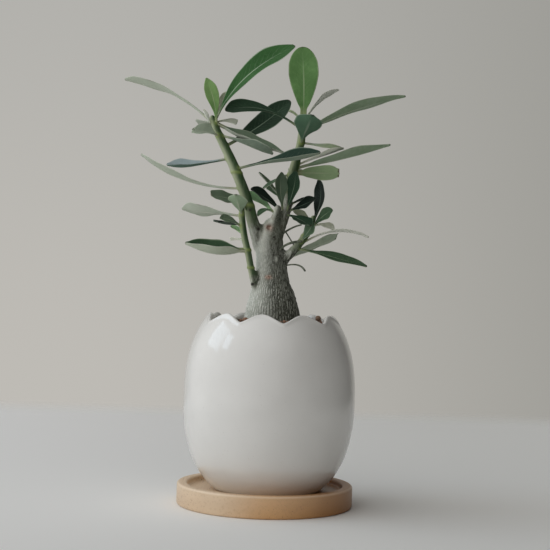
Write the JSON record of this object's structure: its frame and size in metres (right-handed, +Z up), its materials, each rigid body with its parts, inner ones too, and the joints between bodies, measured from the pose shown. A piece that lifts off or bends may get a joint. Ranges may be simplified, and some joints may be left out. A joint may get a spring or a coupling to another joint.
{
  "type": "potted desert rose",
  "caption": "Potted desert rose with a swollen trunk, slender forked stems and narrow spoon-shaped leaves, in a scalloped eggshell pot on a round wooden saucer.",
  "frame": {"origin": "middle of the saucer's underside", "axes": "+Z up, -Y the front that the plant shows best, +X to its right"},
  "size_m": [0.1486, 0.09, 0.2392],
  "materials": {
    "oiled_wood": "oiled, satin",
    "white_glaze": "smooth white glaze, glossy",
    "potting_mix": "loose, matt",
    "bark": "living bark, finely wrinkled, matt",
    "green_stem": "living green stem, waxy",
    "leaf": "living leaf, waxy, semi-gloss"
  },
  "bodies": {
    "root": {"caudex": "bark", "caudex_leaf_01": "leaf", "centre_shoot": "green_stem", "centre_shoot_leaf_01": "leaf", "centre_shoot_leaf_02": "leaf", "left_shoot": "green_stem", "left_shoot_leaf_01": "leaf", "left_shoot_leaf_02": "leaf", "left_shoot_leaf_03": "leaf", "left_shoot_leaf_04": "leaf", "left_shoot_leaf_05": "leaf", "left_shoot_leaf_06": "leaf", "left_shoot_leaf_07": "leaf", "left_stem": "green_stem", "left_stem_leaf_01": "leaf", "left_stem_leaf_02": "leaf", "left_stem_leaf_03": "leaf", "left_stem_leaf_04": "leaf", "left_stem_leaf_05": "leaf", "left_stem_leaf_06": "leaf", "left_stem_leaf_07": "leaf", "left_stem_leaf_08": "leaf", "left_stem_leaf_09": "leaf", "left_stem_leaf_10": "leaf", "left_stem_leaf_11": "leaf", "left_stem_leaf_12": "leaf", "left_stem_leaf_13": "leaf", "left_stem_leaf_14": "leaf", "pot": "white_glaze", "right_shoot": "green_stem", "right_shoot_leaf_01": "leaf", "right_shoot_leaf_02": "leaf", "right_shoot_leaf_03": "leaf", "right_shoot_leaf_04": "leaf", "right_shoot_leaf_05": "leaf", "right_shoot_leaf_06": "leaf", "right_shoot_leaf_07": "leaf", "right_stem": "green_stem", "right_stem_leaf_01": "leaf", "right_stem_leaf_02": "leaf", "right_stem_leaf_03": "leaf", "right_stem_leaf_04": "leaf", "right_stem_leaf_05": "leaf", "right_stem_leaf_06": "leaf", "right_stem_leaf_07": "leaf", "right_stem_leaf_08": "leaf", "right_stem_leaf_09": "leaf", "right_stem_leaf_10": "leaf", "right_stem_leaf_11": "leaf", "right_stem_leaf_12": "leaf", "right_stem_leaf_13": "leaf", "right_stem_leaf_14": "leaf", "right_stem_leaf_15": "leaf", "right_stem_leaf_16": "leaf", "right_stem_leaf_17": "leaf", "right_stem_leaf_18": "leaf", "right_stem_leaf_19": "leaf", "right_stem_leaf_20": "leaf", "saucer": "oiled_wood", "soil": "potting_mix"}
  },
  "joints": []
}
